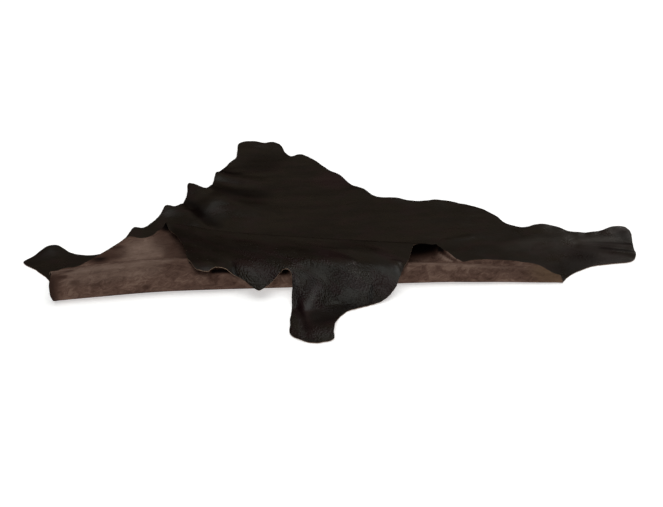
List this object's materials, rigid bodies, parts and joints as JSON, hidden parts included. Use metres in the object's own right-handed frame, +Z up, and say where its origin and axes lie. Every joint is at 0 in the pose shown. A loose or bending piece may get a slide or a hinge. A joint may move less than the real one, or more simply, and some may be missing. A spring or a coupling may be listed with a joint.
{
  "type": "leather hide",
  "caption": "Whole leather hide laid in a loose double fold, grain side out, with a soft front roll, exposed flesh side and a leg flap falling over the front.",
  "frame": {"origin": "bottom centre of the folded hide's bounding box, on the surface that it lies on", "axes": "+X along the hide and its folds, +Y away from the leg flap towards the far leg, +Z up"},
  "size_m": [2.2467, 1.6491, 0.0953],
  "materials": {
    "grain": "finely pebbled, soft satin sheen",
    "flesh": "matt mottled suede",
    "cut_edge": "raw fibrous cut edge"
  },
  "bodies": {
    "root": {"hide": "grain"}
  },
  "joints": []
}
